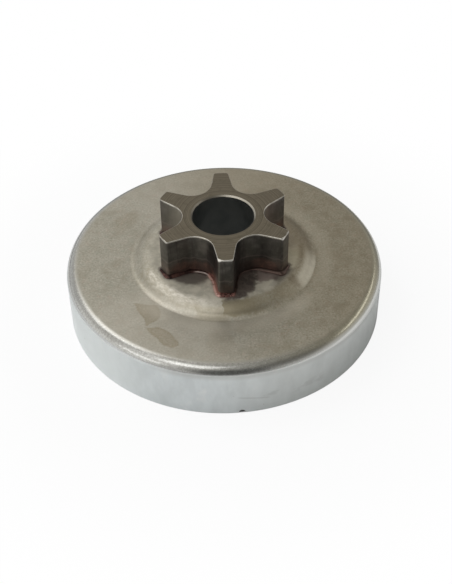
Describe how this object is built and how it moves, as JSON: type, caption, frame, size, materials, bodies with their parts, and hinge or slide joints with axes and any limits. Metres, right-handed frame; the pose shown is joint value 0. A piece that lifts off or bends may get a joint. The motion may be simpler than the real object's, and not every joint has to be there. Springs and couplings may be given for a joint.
{
  "type": "chainsaw clutch drum",
  "caption": "Drawn steel clutch drum with a spur chain sprocket brazed to its raised centre; it spins on a needle bearing and drives the saw chain.",
  "frame": {"origin": "centre of the rim that the drum stands on, open side down", "axes": "+Z along the drum's axis, from the rim towards the sprocket; one tooth points along +Y"},
  "size_m": [0.068, 0.068, 0.024],
  "materials": {
    "drum_steel": "bare drawn steel, satin, with a turned skirt",
    "sprocket_steel": "hardened steel, dark, with faint turning marks",
    "braze_copper": "furnace copper, dull, darkened"
  },
  "bodies": {
    "root": {"drum_cup": "drum_steel", "spur_sprocket": "sprocket_steel", "outer_braze_fillet": "braze_copper", "inner_braze_fillet": "braze_copper"}
  },
  "joints": []
}
